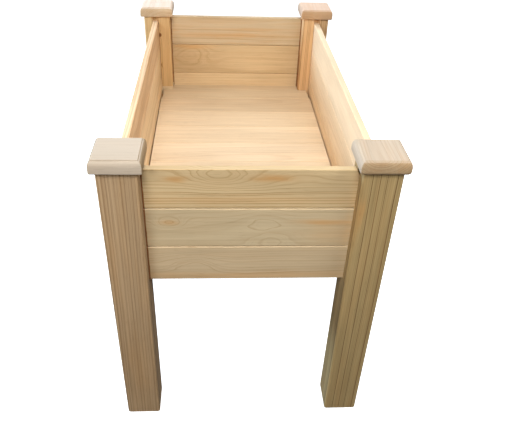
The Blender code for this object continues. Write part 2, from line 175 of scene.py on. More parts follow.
def eased(corners, steps=4):
    """Outline with its corners rounded, as (across, deep, how rounded), with holding points beside long edges.

    Corners are (across, deep, radius).
    """
    points = []
    count = len(corners)
    for index, (across, deep, radius) in enumerate(corners):
        here = Vector((across, deep))
        if radius <= 0.0:
            points.append((across, deep, 0.0))
            continue
        back = Vector(corners[index - 1][:2]) - here
        ahead = Vector(corners[(index + 1) % count][:2]) - here
        half_angle = back.angle(ahead) / 2
        reach = radius / math.tan(half_angle)
        start = here + back.normalized() * reach
        end = here + ahead.normalized() * reach
        centre = here + (back.normalized() + ahead.normalized()).normalized() * radius / math.sin(half_angle)
        first = math.atan2(start.y - centre.y, start.x - centre.x)
        turn = math.atan2(end.y - centre.y, end.x - centre.x) - first
        turn = (turn + math.pi) % (2 * math.pi) - math.pi
        if back.length > 3 * HOLD + reach:
            hold = start + back.normalized() * HOLD
            points.append((hold.x, hold.y, 0.0))
        for step in range(steps + 1):
            angle = first + turn * step / steps
            rounded = 0.5 if step in (0, steps) else 1.0
            points.append((centre.x + radius * math.cos(angle), centre.y + radius * math.sin(angle), rounded))
        if ahead.length > 3 * HOLD + reach:
            hold = end + ahead.normalized() * HOLD
            points.append((hold.x, hold.y, 0.0))
    return points


def inset(outline, distance):
    """The same outline moved inwards by a small distance."""
    turns = 0.0
    count = len(outline)
    for index in range(count):
        here, ahead = outline[index], outline[(index + 1) % count]
        turns += here[0] * ahead[1] - ahead[0] * here[1]
    inward = 1.0 if turns > 0 else -1.0
    moved = []
    for index, (across, deep, rounded) in enumerate(outline):
        back, ahead = outline[index - 1], outline[(index + 1) % count]
        tangent = Vector((ahead[0] - back[0], ahead[1] - back[1])).normalized()
        moved.append((across - tangent.y * inward * distance, deep + tangent.x * inward * distance, rounded))
    return moved


def skin(shape, sections):
    """Skin a closed solid through sections, each a list of (place, how rounded), with the same number of points."""
    layer = shape.verts.layers.float.get("arris") or shape.verts.layers.float.new("arris")
    rings = []
    for section in sections:
        ring = []
        for place, rounded in section:
            vert = shape.verts.new(place)
            vert[layer] = rounded
            ring.append(vert)
        rings.append(ring)
    count = len(rings[0])
    for lower, upper in zip(rings, rings[1:]):
        for index in range(count):
            ahead = (index + 1) % count
            shape.faces.new((lower[index], lower[ahead], upper[ahead], upper[index]))
    shape.faces.new(rings[0])
    shape.faces.new(list(reversed(rings[-1])))
    bmesh.ops.recalc_face_normals(shape, faces=shape.faces)


def lay(axes, origin):
    """Matrix of a stick whose own axes lie along three of the planter's, from an origin."""
    matrix = Matrix.Identity(4)
    for column, axis in enumerate(axes):
        for row in range(3):
            matrix[row][column] = axis[row]
    matrix.translation = origin
    return matrix


def new_piece(name, shape, matrix):
    """Make an object of a bmesh and place it."""
    mesh = bpy.data.meshes.new(name)
    shape.to_mesh(mesh)
    shape.free()
    piece = bpy.data.objects.new(name, mesh)
    bpy.context.scene.collection.objects.link(piece)
    piece.matrix_world = matrix
    return piece


def cutter(name, outline, low, high):
    """A straight-sided cutter, from an outline on the ground plane, between two heights."""
    shape = bmesh.new()
    skin(shape, [[((x, y, level), 0.0) for x, y in outline] for level in (low, high)])
    return new_piece(name, shape, Matrix.Identity(4))


def box_cutter(name, low, high):
    """A box-shaped cutter between two corners."""
    outline = [(low[0], low[1]), (high[0], low[1]), (high[0], high[1]), (low[0], high[1])]
    return cutter(name, outline, low[2], high[2])


def cut_away(piece, cutters):
    """Cut shapes out of a piece and keep the result as its mesh."""
    for tool in cutters:
        boolean = piece.modifiers.new(tool.name, "BOOLEAN")
        boolean.operation = "DIFFERENCE"
        boolean.solver = "EXACT"
        boolean.object = tool
    bpy.context.view_layer.update()
    before = max((Vector(corner) for corner in piece.bound_box), key=lambda corner: corner.length).length
    graph = bpy.context.evaluated_depsgraph_get()
    settled = bpy.data.meshes.new_from_object(piece.evaluated_get(graph), depsgraph=graph)
    piece.modifiers.clear()
    old = piece.data
    piece.data = settled
    bpy.data.meshes.remove(old)
    settled.name = piece.name
    for tool in cutters:
        spent = tool.data
        bpy.data.objects.remove(tool)
        bpy.data.meshes.remove(spent)
    after = max((vert.co.length for vert in settled.vertices), default=0.0)
    if not 0.0 < after < before + 0.0001:
        raise RuntimeError("the cuts in %s went wrong" % piece.name)


def smooth_and_mark(piece, crease=35.0):
    """Shade a piece smooth up to its sharp edges, and mark where its end grain shows."""
    mesh = piece.data
    mesh.shade_smooth()
    mesh.set_sharp_from_angle(angle=math.radians(crease))
    ends = mesh.attributes.new("end_grain", "FLOAT", "CORNER")
    facing = [abs(normal.vector.x) for normal in mesh.corner_normals]
    ends.data.foreach_set("value", [min(1.0, max(0.0, (amount - 0.45) / 0.4)) for amount in facing])
    weighted = piece.modifiers.new("weighted_normals", "WEIGHTED_NORMAL")
    weighted.keep_sharp = True
    weighted.weight = 60


def fit_out(piece, material, slot, *nodes):
    """Give a piece its material, set it on the frame and let it stand for its frame nodes."""
    piece.data.materials.clear()
    piece.data.materials.append(material)
    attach(piece, ROOT)
    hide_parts(*nodes)


# ---------------------------------------------------------------- shader nodes

class Bench:
    """Wires shader nodes in one node tree."""

    def __init__(self, tree):
        self.tree = tree

    def node(self, kind, **settings):
        """Add a node and set its options."""
        made = self.tree.nodes.new(kind)
        for option, value in settings.items():
            setattr(made, option, value)
        return made

    def feed(self, socket, value):
        """Link a socket to another, or set its value."""
        if isinstance(value, bpy.types.NodeSocket):
            self.tree.links.new(value, socket)
        elif hasattr(socket.default_value, "__len__") and len(socket.default_value) == 4 and len(value) == 3:
            socket.default_value = (*value, 1.0)
        else:
            socket.default_value = value

    def math(self, operation, first, second=0.0, third=0.0, clamp=False):
        """Arithmetic on numbers."""
        made = self.node("ShaderNodeMath", operation=operation, use_clamp=clamp)
        for socket, value in zip(made.inputs, (first, second, third)):
            self.feed(socket, value)
        return made.outputs[0]

    def times(self, first, second):
        """Product of two numbers."""
        return self.math("MULTIPLY", first, second)

    def plus(self, first, second, third):
        """First times second, plus third."""
        return self.math("MULTIPLY_ADD", first, second, third)

    def stretch(self, vector, factors):
        """A vector with each part multiplied by its own factor."""
        return self.vector("MULTIPLY", vector, factors)

    def wander(self, vector, factors, detail, roughness, amount):
        """A vector that drifts about nought, up to half the amount either way."""
        drift = self.noise(self.stretch(vector, factors), detail, roughness)[1]
        return self.vector("SCALE", self.vector("SUBTRACT", drift, (0.5, 0.5, 0.5)), amount)

    def vector(self, operation, first, second=(0.0, 0.0, 0.0)):
        """Arithmetic on vectors."""
        made = self.node("ShaderNodeVectorMath", operation=operation)
        self.feed(made.inputs[0], first)
        if operation == "SCALE":
            self.feed(made.inputs["Scale"], second)
        elif operation != "LENGTH":
            self.feed(made.inputs[1], second)
        return made.outputs["Value" if operation in ("LENGTH", "DOT_PRODUCT") else "Vector"]

    def split(self, vector):
        """The three parts of a vector."""
        made = self.node("ShaderNodeSeparateXYZ")
        self.feed(made.inputs[0], vector)
        return made.outputs[0], made.outputs[1], made.outputs[2]

    def join(self, x, y, z):
        """A vector of three numbers."""
        made = self.node("ShaderNodeCombineXYZ")
        for socket, value in zip(made.inputs, (x, y, z)):
            self.feed(socket, value)
        return made.outputs[0]

    def noise(self, vector, detail=2.0, roughness=0.5, distortion=0.0):
        """Fractal noise in three dimensions: its value and its three-part colour."""
        made = self.node("ShaderNodeTexNoise", noise_dimensions="3D")
        self.feed(made.inputs["Vector"], vector)
        made.inputs["Scale"].default_value = 1.0
        made.inputs["Detail"].default_value = detail
        made.inputs["Roughness"].default_value = roughness
        made.inputs["Distortion"].default_value = distortion
        return made.outputs[0], made.outputs[1]

    def noise_along(self, value, detail=1.0):
        """Fractal noise along a line."""
        made = self.node("ShaderNodeTexNoise", noise_dimensions="1D")
        self.feed(made.inputs["W"], value)
        made.inputs["Scale"].default_value = 1.0
        made.inputs["Detail"].default_value = detail
        return made.outputs[0]

    def chance(self, value):
        """A random number for each whole number."""
        made = self.node("ShaderNodeTexWhiteNoise", noise_dimensions="1D")
        self.feed(made.inputs["W"], value)
        return made.outputs["Value"]

    def ease(self, value, low, high, to_low=0.0, to_high=1.0):
        """Smooth step between two numbers."""
        made = self.node("ShaderNodeMapRange", interpolation_type="SMOOTHSTEP")
        for name, amount in (
            ("Value", value), ("From Min", low), ("From Max", high), ("To Min", to_low), ("To Max", to_high)
        ):
            self.feed(made.inputs[name], amount)
        return made.outputs[0]

    def mix(self, share, first, second, blend="MIX"):
        """Blend of two colours."""
        made = self.node("ShaderNodeMix", data_type="RGBA", blend_type=blend, clamp_factor=True)
        self.feed(made.inputs[0], share)
        self.feed(made.inputs[6], first)
        self.feed(made.inputs[7], second)
        return made.outputs[2]

    def between(self, share, first, second):
        """Blend of two numbers."""
        made = self.node("ShaderNodeMix", data_type="FLOAT", clamp_factor=True)
        self.feed(made.inputs[0], share)
        self.feed(made.inputs[2], first)
        self.feed(made.inputs[3], second)
        return made.outputs[0]

    def attribute(self, name):
        """A number that the mesh carries."""
        return self.node("ShaderNodeAttribute", attribute_name=name).outputs["Fac"]

    def group(self, name, **values):
        """Place a shared group and feed its inputs, whose names have underscores for spaces here."""
        made = self.node("ShaderNodeGroup", node_tree=bpy.data.node_groups[name])
        for key, value in values.items():
            self.feed(made.inputs[key.replace("_", " ")], value)
        return made.outputs


def new_group(name, inputs, outputs):
    """Make an empty shader group: its bench, its inputs and its outputs.

    Sockets are named after a letter for their kind: F number, V vector, C colour.
    """
    kinds = {"F": "NodeSocketFloat", "V": "NodeSocketVector", "C": "NodeSocketColor"}
    tree = bpy.data.node_groups.new(name, "ShaderNodeTree")
    for way, sockets in (("INPUT", inputs), ("OUTPUT", outputs)):
        for socket in sockets.split(", "):
            kind, label = socket.split(" ", 1)
            tree.interface.new_socket(name=label, in_out=way, socket_type=kinds[kind])
    bench = Bench(tree)
    entry = bench.node("NodeGroupInput")
    leave = bench.node("NodeGroupOutput")
    return bench, entry.outputs, leave.inputs


def bell_round(bench, given, factors, detail, amount):
    """How far off a place is, in patch sizes with a wandering edge, and a bell that falls from 1 there."""
    away = bench.stretch(bench.vector("SUBTRACT", given["Vector"], given["Place"]), given["Reach"])
    away = bench.vector("ADD", away, bench.wander(given["Vector"], factors, detail, 0.5, amount))
    distance = bench.vector("LENGTH", away)
    return distance, bench.math("EXPONENT", bench.times(bench.math("POWER", distance, 2.0), -1.0))


def make_swirl_group():
    """A place where the rings swell round a knot or a hidden branch; it also draws the painted shade lines at the
    walls' seams.
    """
    bench, given, result = new_group(
        "Grain Swirl",
        "V Vector, V Place, V Reach, F Rise, F Heart, F Lift, F Knot",
        "F Lift, F Knot",
    )
    distance, bell = bell_round(bench, given, (22.0, 60.0, 60.0), 1.0, 0.45)
    bench.feed(result["Lift"], bench.plus(bell, given["Rise"], given["Lift"]))
    core = bench.math("DIVIDE", distance, bench.math("MAXIMUM", given["Heart"], 0.0001))
    bench.feed(result["Knot"], bench.math("MAXIMUM", bench.ease(core, 1.25, 0.75), given["Knot"]))


def make_patch_group():
    """A long soft patch, which adds to the patches before it."""
    bench, given, result = new_group(
        "Soft Patch",
        "V Vector, V Place, V Reach, F Amount, F Patch",
        "F Patch",
    )
    bell = bell_round(bench, given, (14.0, 90.0, 90.0), 2.0, 1.4)[1]
    bench.feed(result["Patch"], bench.math("MULTIPLY_ADD", bell, given["Amount"], given["Patch"], clamp=True))


def make_ring_group():
    """Growth rings round a pith line: pale spring wood that darkens to a sharp-edged line of summer wood."""
    bench, given, result = new_group(
        "Growth Rings",
        "V Vector, V Log Place, V Pith, V Lean, F Ring Width, F Waver, F Late Share, F Variety, F Lift",
        "F Late Wood, F Season",
    )
    vector = given["Vector"]
    in_log = bench.vector("ADD", vector, given["Log Place"])
    slow = bench.wander(in_log, (1.7, 5.0, 5.0), 1.5, 0.45, given["Waver"])
    quick = bench.wander(in_log, (9.0, 46.0, 46.0), 1.0, 0.5, bench.times(given["Waver"], 0.07))
    along = bench.split(vector)[0]
    away = bench.vector("SUBTRACT", vector, given["Pith"])
    away = bench.vector("SUBTRACT", away, bench.vector("SCALE", given["Lean"], along))
    away = bench.vector("ADD", bench.vector("ADD", away, slow), quick)
    radius = bench.vector("LENGTH", bench.stretch(away, (0.0, 1.0, 1.0)))
    radius = bench.math("ADD", radius, given["Lift"])
    rings = bench.math("DIVIDE", radius, given["Ring Width"])
    uneven = bench.noise_along(bench.times(rings, 0.6))
    rings = bench.plus(uneven, 1.6, rings)
    season = bench.math("FLOOR", rings)
    part = bench.math("FRACT", rings)
    start = bench.math("SUBTRACT", 0.97, given["Late Share"])
    late = bench.ease(part, start, 0.95)
    late = bench.times(late, bench.ease(part, 1.0, 0.955))
    luck = bench.chance(season)
    strength = bench.math("SUBTRACT", 1.0, bench.times(luck, given["Variety"]))
    bench.feed(result["Late Wood"], bench.times(late, strength))
    bench.feed(result["Season"], luck)


def make_fibre_group():
    """Fine streaks along the grain, and short dark resin canals."""
    bench, given, result = new_group(
        "Wood Fibre",
        "V Vector, V Log Place",
        "F Streak, F Fibre, F Canal",
    )
    in_log = bench.vector("ADD", given["Vector"], given["Log Place"])
    bench.feed(result["Streak"], bench.noise(bench.stretch(in_log, (3.5, 150.0, 150.0)), 3.0, 0.6)[0])
    bench.feed(result["Fibre"], bench.noise(bench.stretch(in_log, (14.0, 900.0, 900.0)), 2.0, 0.6)[0])
    canal = bench.noise(bench.stretch(in_log, (34.0, 620.0, 620.0)), 0.0)[0]
    bench.feed(result["Canal"], bench.ease(canal, 0.74, 0.8))


def make_drift_group():
    """Slow changes of tone over a stick, and wispy patches."""
    bench, given, result = new_group(
        "Tone Drift",
        "V Vector, V Log Place",
        "F Drift, F Wisp",
    )
    in_log = bench.vector("ADD", given["Vector"], given["Log Place"])
    drift = bench.noise(bench.stretch(in_log, (2.2, 9.0, 9.0)), 2.0, 0.5)[0]
    wisp = bench.noise(bench.stretch(in_log, (5.0, 42.0, 42.0)), 3.0, 0.55, 0.4)[0]
    bench.feed(result["Drift"], bench.ease(drift, 0.32, 0.68))
    bench.feed(result["Wisp"], bench.ease(wisp, 0.4, 0.68))


def make_pine_group():
    """Planed pine: rings, fibre, drift, knots, end grain and eased edges brought together."""
    bench, given, result = new_group(
        "Planed Pine",
        "V Vector, V Log Place, V Pith, V Lean, F Ring Width, F Waver, F Late Share, F Variety, F Lift, "
        "F Knot, F Patch, F Contrast, F Fine Rings, F Bold, F Streaks, F Blush, F End Grain, F Arris, "
        "C Early, C Late, C Resin, C Heart",
        "C Colour, F Roughness, F Height",
    )
    vector, place = given["Vector"], given["Log Place"]
    shared = {key: given[key.replace("_", " ")] for key in ("Pith", "Lean", "Waver", "Lift")}
    rings = bench.group(
        "Growth Rings", Vector=vector, Log_Place=place, Ring_Width=given["Ring Width"],
        Late_Share=given["Late Share"], Variety=given["Variety"], **shared,
    )
    fine = bench.group(
        "Growth Rings", Vector=vector, Log_Place=place, Late_Share=0.6, Variety=0.8,
        Ring_Width=bench.times(given["Ring Width"], 0.31), **shared,
    )
    fibre = bench.group("Wood Fibre", Vector=vector, Log_Place=place)
    tone = bench.group("Tone Drift", Vector=vector, Log_Place=place)

    contrast = bench.plus(given["End Grain"], 0.5, bench.math("ADD", given["Contrast"], given["Bold"]))
    late = bench.times(rings["Late Wood"], contrast)
    fine_late = bench.times(fine["Late Wood"], given["Fine Rings"])
    dark = bench.math("ADD", late, fine_late, clamp=True)
    colour = bench.mix(dark, given["Early"], given["Late"])
    blush = bench.times(bench.times(tone["Wisp"], rings["Season"]), given["Blush"])
    colour = bench.mix(bench.math("MAXIMUM", blush, given["Patch"]), colour, given["Resin"])
    soft = 0.0
    for value, amount in ((fibre["Streak"], given["Streaks"]), (fibre["Fibre"], 0.16), (tone["Drift"], 0.14)):
        soft = bench.math("ADD", soft, bench.times(bench.math("SUBTRACT", value, 0.5), amount))
    soft = bench.math("SUBTRACT", soft, bench.times(fibre["Canal"], 0.13))
    soft = bench.math("ADD", soft, 1.0)
    shade = bench.join(soft, bench.math("POWER", soft, 1.12), bench.math("POWER", soft, 1.3))
    colour = bench.mix(1.0, colour, shade, "MULTIPLY")
    colour = bench.mix(given["Knot"], colour, given["Heart"])
    ends = bench.mix(1.0, colour, (0.76, 0.66, 0.5), "MULTIPLY")
    colour = bench.mix(given["End Grain"], colour, ends)
    pale = bench.mix(1.0, colour, (1.12, 1.1, 1.06), "MULTIPLY")
    colour = bench.mix(bench.times(given["Arris"], 0.6), colour, pale)
    bench.feed(result["Colour"], colour)

    rough = 0.58
    for value, amount in (
        (dark, -0.12), (fibre["Streak"], 0.14), (given["End Grain"], 0.2), (given["Knot"], -0.14),
    ):
        rough = bench.plus(value, amount, rough)
    bench.feed(result["Roughness"], rough)
    height = 0.0
    for value, amount in ((dark, 0.5), (fibre["Fibre"], 0.35), (fibre["Streak"], 0.3), (fibre["Canal"], -0.4)):
        height = bench.plus(value, amount, height)
    bench.feed(result["Height"], height)


def make_groups():
    """Build each shared group once."""
    makers = {
        "Grain Swirl": make_swirl_group, "Soft Patch": make_patch_group, "Growth Rings": make_ring_group,
        "Wood Fibre": make_fibre_group, "Tone Drift": make_drift_group, "Planed Pine": make_pine_group,
    }
    for name, maker in makers.items():
        if name not in bpy.data.node_groups:
            maker()


# ---------------------------------------------------------------- timber

# A stick's grain: where its pith lies and leans, its ring width and how far the rings waver, the share of summer wood
# and how much it varies, its contrast, the fine rings between, streaks, resin blush, places where the rings swell
# (also painted shade lines at seams), resin patches (also painted light bands beside the front posts), bolder places,
# and how dark the summer wood is
PLAIN_GRAIN = dict(
    pith=(0.0, 0.05, -0.08), lean=(0.0, 0.0, 0.0), ring=0.0045, waver=0.02, late=0.45, variety=0.6, contrast=0.5,
    fine=0.12, streaks=0.35, blush=0.2, swirls=(), patches=(), bold=(), deep=1.0,
)


# How each stick's colour stands to the common one of its kind: red, green, blue. These were fitted per stick from
# rendered colours, so they hold each stick's own tone together with painted light: the right wall's pale, cool boards
# are painted window light, and the darker last floor boards are painted shade from the rear wall.
TONES_AND_PAINTED_LIGHT = {
    "post_front_left": (0.928, 0.932, 1.007),
    "post_front_right": (0.824, 0.848, 0.725),
    "post_rear_left": (1.25, 1.195, 1.08),
    "post_rear_right": (1.34, 1.25, 1.21),
    "cap_front_left": (0.702, 0.696, 0.73),
    "cap_front_right": (0.769, 0.747, 0.764),
    "cap_rear_left": (1.15, 1.15, 1.28),
    "cap_rear_right": (1.041, 0.905, 0.909),
    "front_wall_board_top": (0.912, 0.949, 0.976),
    "front_wall_board_middle": (0.829, 0.909, 1.032),
    "front_wall_board_bottom": (0.85, 0.9, 1.016),
    "rear_wall_board_top": (0.839, 0.9, 1.049),
    "rear_wall_board_middle": (0.87, 0.875, 0.908),
    "rear_wall_board_bottom": (1.0, 1.028, 1.111),
    "left_wall_board_top": (1.22, 1.2, 1.38),
    "left_wall_board_middle": (1.15, 1.2, 1.37),
    "left_wall_board_bottom": (1.15, 1.2, 1.37),
    "right_wall_board_top": (1.19, 1.27, 1.54),
    "right_wall_board_middle": (1.2, 1.27, 1.52),
    "right_wall_board_bottom": (1.2, 1.27, 1.52),
}
# Floor boards from front to rear; the last two are darkened as painted shade of the rear wall
FLOOR_TONES_AND_PAINTED_SHADE = (
    (1.03, 1.08, 1.2), (1.02, 1.08, 1.2), (1.05, 1.09, 1.18),
    (1.02, 1.07, 1.18), (1.05, 1.1, 1.22), (1.05, 1.09, 1.18),
    (1.02, 1.05, 1.12), (0.96, 0.98, 1.04), (0.87, 0.9, 0.95),
)
TONES_AND_PAINTED_LIGHT.update(("floor_board_%d" % number, tone_and_painted_light) for number, tone_and_painted_light in enumerate(FLOOR_TONES_AND_PAINTED_SHADE, 1))


def reach(half_length, half_width, half_depth=None):
    """Weights that turn a distance in metres into one in patch sizes. No depth means right through."""
    return (1 / half_length, 1 / half_width, 0.0 if half_depth is None else 1 / half_depth)


def patch(along, across, half_length, half_width, amount, deep=0.0):
    """A soft patch on a stick: its place from the middle of the stick's foot or edge, its size and its amount."""
    return (along, across, deep), reach(half_length, half_width), amount


def swell(along, across, half_length, half_width, rise):
    """A place in a stick where the rings swell or sink, with no knot."""
    return (along, across, 0.0), reach(half_length, half_width), rise, 0.0


def pine_material(node, early, late, grain, axes="xyz"):
    """Material of one stick of pine, cut from its own place in a log."""
    make_groups()
    timber = bpy.context.scene.planter_timber
    wood = {**PLAIN_GRAIN, **grain}
    material = bpy.data.materials.new("pine_" + node)
    material.use_nodes = True
    bench = Bench(material.node_tree)
    shader = material.node_tree.nodes["Principled BSDF"]
    vector = bench.node("ShaderNodeTexCoord").outputs["Object"]
    if axes != "xyz":
        parts = dict(zip("xyz", bench.split(vector)))
        vector = bench.join(*(parts[axis] for axis in axes))
    number = sum(ord(letter) * (place + 3) for place, letter in enumerate(node)) % 997
    log_place = (number * 0.731 % 9.0, number * 0.377 % 7.0, number * 0.513 % 5.0)
    lift, knot, patch, bold = 0.0, 0.0, 0.0, 0.0
    # The swirls carry the knots and also the painted shade lines where end walls meet the posts
    for place, size, rise, heart in wood["swirls"]:
        swirl = bench.group(
            "Grain Swirl", Vector=vector, Place=place, Reach=size, Rise=rise, Heart=heart, Lift=lift, Knot=knot
        )
        lift, knot = swirl["Lift"], swirl["Knot"]
    # Resin patches; on the front wall some are painted light bands beside the posts
    for place, size, amount in wood["patches"]:
        patch = bench.group("Soft Patch", Vector=vector, Place=place, Reach=size, Amount=amount, Patch=patch)["Patch"]
    for place, size, amount in wood["bold"]:
        bold = bench.group("Soft Patch", Vector=vector, Place=place, Reach=size, Amount=amount, Patch=bold)["Patch"]
    # The stick's own tone together with its painted light or shade
    tone_and_painted_light = TONES_AND_PAINTED_LIGHT.get(node, (1.0, 1.0, 1.0))
    pine = bench.group(
        "Planed Pine", Vector=vector, Log_Place=log_place, Pith=wood["pith"], Lean=wood["lean"],
        Ring_Width=wood["ring"], Waver=wood["waver"], Late_Share=wood["late"], Variety=wood["variety"],
        Lift=lift, Knot=knot, Patch=patch, Contrast=wood["contrast"], Fine_Rings=wood["fine"], Bold=bold,
        Streaks=wood["streaks"], Blush=wood["blush"], End_Grain=bench.attribute("end_grain"),
        Arris=bench.attribute("arris"), Early=[c * t for c, t in zip(early, tone_and_painted_light)],
        Late=[c * t * wood["deep"] for c, t in zip(late, tone_and_painted_light)], Resin=list(timber.resin), Heart=list(timber.knot),
    )
    bump = bench.node("ShaderNodeBump")
    bump.inputs["Strength"].default_value = 0.35
    bump.inputs["Distance"].default_value = 0.00025
    bench.feed(bump.inputs["Height"], pine["Height"])
    bench.feed(shader.inputs["Base Color"], pine["Colour"])
    bench.feed(shader.inputs["Roughness"], pine["Roughness"])
    bench.feed(shader.inputs["Normal"], bump.outputs["Normal"])
    shader.inputs["IOR"].default_value = 1.45
    material.diffuse_color = (*early, 1.0)
    return material


# ---------------------------------------------------------------- posts

POST_GRAIN = {
    "front_left": dict(
        pith=(0.0, 0.23, 0.03), ring=0.0072, waver=0.020, late=0.5, variety=0.7, contrast=0.62,
        fine=0.42, lean=(0.0, 0.012, 0.0), streaks=0.5, deep=0.85,
        patches=(patch(0.55, -0.030, 0.12, 0.010, 0.2, -0.045), patch(0.18, 0.0, 0.15, 0.03, 0.25, -0.045)),
    ),
    "front_right": dict(
        pith=(0.0, -0.26, 0.02), ring=0.0175, waver=0.010, late=0.16, variety=0.3,
        contrast=1.0, fine=0.34, lean=(0.0, -0.003, 0.0), streaks=0.5, deep=0.62,
        patches=(patch(0.70, -0.036, 0.040, 0.008, 0.45, -0.045), patch(0.66, -0.045, 0.07, 0.02, 0.2)),
    ),
    "rear_left": dict(
        pith=(0.0, -0.06, -0.16), ring=0.006, waver=0.02, contrast=0.4, fine=0.2,
        swirls=(
            ((0.735, 0.008, -0.045), reach(0.012, 0.010, 0.02), 0.006, 0.55),
            ((0.625, -0.001, -0.045), reach(0.012, 0.010, 0.02), 0.006, 0.5),
        ),
        bold=(patch(0.735, 0.008, 0.012, 0.02, 0.6, -0.045), patch(0.625, 0.0, 0.012, 0.02, 0.6, -0.045)),
    ),
    "rear_right": dict(
        pith=(0.0, 0.19, -0.02), ring=0.0085, waver=0.018, late=0.5, contrast=0.95,
        fine=0.3, blush=0.2,
    ),
}


def add_posts():
    """Four square posts with eased arrises, chamfered feet and grooves for the walls."""
    sizes = bpy.context.scene.planter_shape
    timber = bpy.context.scene.planter_timber
    for corner, (side, end) in CORNERS.items():
        node = "post_" + corner
        low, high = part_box(node)
        centre = (low + high) / 2
        half = (high.x - low.x) / 2
        height = high.z - low.z
        square = []
        for across, deep in ((1, 1), (-1, 1), (-1, -1), (1, -1)):
            square.append((across * half, deep * half, sizes.post_arris))
        outline = eased(square, 8)
        chamfer = sizes.foot_chamfer
        stations = [(0.0, chamfer), (0.3 * chamfer, 0.6 * chamfer), (0.78 * chamfer, 0.14 * chamfer)]
        stations += [(level, 0.0) for level in spread(1.2 * chamfer, height - TOP_EASE, 24)]
        stations += [(height, TOP_EASE)]
        sections = []
        for level, pulled in stations:
            section = []
            for across, deep, rounded in inset(outline, pulled):
                place = Vector((level * 3, across * 30, deep * 30 + half * 90 * side))
                shy = 1 - sizes.unevenness / half * (0.5 + 0.5 * noise.noise(place))
                section.append(((level, across * shy, deep * shy), rounded))
            sections.append(section)
        shape = bmesh.new()
        skin(shape, sections)
        post = new_piece("timber_" + node, shape, lay(UPRIGHT, (centre.x, centre.y, low.z)))

        grooves = []
        walls = (("rear" if end > 0 else "front", 0, side), ("right" if side > 0 else "left", 1, end))
        for wall, run, way in walls:
            board_low, board_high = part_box(wall + "_wall_board_bottom")
            groove_end = (board_high if way > 0 else board_low)[run] + way * GROOVE_END_CLEARANCE
            inner = centre[run] - way * (half + PAST)
            around = sizes.groove_ease * (X + Y)
            groove_low, groove_high = board_low - around, board_high + around
            groove_low[run], groove_high[run] = sorted((inner, groove_end))
            groove_low.z, groove_high.z = board_low.z - BOARD_GAP, high.z + PAST
            grooves.append(box_cutter(wall + "_groove", groove_low, groove_high))
        cut_away(post, grooves)
        smooth_and_mark(post)
        material = pine_material(node, timber.post_early, timber.post_late, POST_GRAIN[corner])
        fit_out(post, material, "post_pine", node)


# ---------------------------------------------------------------- caps

CAP_FORM = {
    "front_left": dict(lip=0.0026, shelf=0.0072, nose=0.0135, base=0.0032, corner=0.0016),
    "front_right": dict(lip=0.0012, shelf=0.0082, nose=0.0170, base=0.0085, corner=0.0055),
    "rear_left": dict(lip=0.0016, shelf=0.0074, nose=0.0150, base=0.0050, corner=0.0030),
    "rear_right": dict(lip=0.0016, shelf=0.0070, nose=0.0145, base=0.0055, corner=0.0036),
}
CAP_GRAIN = {
    "front_left": dict(
        axes=ALONG_X_FLAT, pith=(0.0, 0.02, -0.09), ring=0.0055, contrast=0.18, fine=0.05,
        blush=0.06, streaks=0.16,
    ),
    "front_right": dict(
        axes=ALONG_Y_FLAT, pith=(0.0, 0.01, 0.075), ring=0.0048, waver=0.03, contrast=0.45,
        fine=0.1, blush=0.2, streaks=0.3,
    ),
    "rear_left": dict(axes=ALONG_Y_FLAT, pith=(0.0, -0.03, -0.06), ring=0.006, contrast=0.14, streaks=0.16),
    "rear_right": dict(axes=ALONG_Y_FLAT, pith=(0.0, 0.04, -0.05), ring=0.005, contrast=0.22, streaks=0.2),
}


def cap_ring(half, corner, level):
    """Places round a square with round corners, at one height."""
    corner = min(corner, half * 0.9)
    places = []
    for quarter in range(4):
        for step in range(7):
            angle = math.radians(90 * quarter + 90 * step / 6)
            reach_x = corner * math.cos(angle) + (half - corner) * (1 if quarter in (0, 3) else -1)
            reach_y = corner * math.sin(angle) + (half - corner) * (1 if quarter in (0, 1) else -1)
            places.append(Vector((reach_x, reach_y, level)))
        run = places[-1].copy()
        turned = math.radians(90 * quarter + 90)
        ahead = Vector((-math.sin(turned), math.cos(turned), 0.0))
        for step in range(1, 6):
            places.append(run + ahead * (2 * (half - corner)) * step / 6)
    return places


def add_caps():
    """Four square caps: a flat top with a thin step down to a rounded nose."""
    timber = bpy.context.scene.planter_timber
    for corner in CORNERS:
        node = "cap_" + corner
        low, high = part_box(node)
        form = CAP_FORM[corner]
        half = (high.x - low.x) / 2
        thick = high.z - low.z
        lip = half - form["shelf"]
        mitre = form["corner"]
        profile = [(lip - 0.0012, thick, 0.4, 0.3), (lip - 0.0006, thick - 0.00008, 0.4, 1.0)]
        profile += [(lip - 0.0002, thick - 0.0004, 0.4, 1.0), (lip, thick - form["lip"] * 0.75, 0.4, 0.6)]
        profile += [(lip + 0.0003, thick - form["lip"], 0.45, 0.0)]
        nose_top = thick - form["lip"]
        for step in range(1, 13):
            angle = math.radians(90 * step / 12)
            out = lip + 0.0003 + (form["shelf"] - 0.0003) * math.sin(angle)
            profile.append((out, nose_top - form["nose"] * (1 - math.cos(angle)), 0.45 + 0.55 * step / 12, 0.4))
        base = form["base"]
        for step in range(0, 8):
            angle = math.radians(90 * step / 7)
            out = half - base * 0.8 * (1 - math.cos(angle))
            profile.append((out, base * (1 - math.sin(angle)), 1.0, 0.4))
        shape = bmesh.new()
        sections = []
        for reach_out, level, share, rounded in profile:
            sections.append([(place, rounded) for place in cap_ring(reach_out, mitre * share, level)])
        skin(shape, sections)
        axes = CAP_GRAIN[corner]["axes"]
        cap = new_piece("timber_" + node, shape, lay(axes, ((low.x + high.x) / 2, (low.y + high.y) / 2, low.z)))
        smooth_and_mark(cap, 40.0)
        material = pine_material(node, timber.cap_early, timber.cap_late, CAP_GRAIN[corner])
        fit_out(cap, material, "cap_pine", node)


# ---------------------------------------------------------------- boards

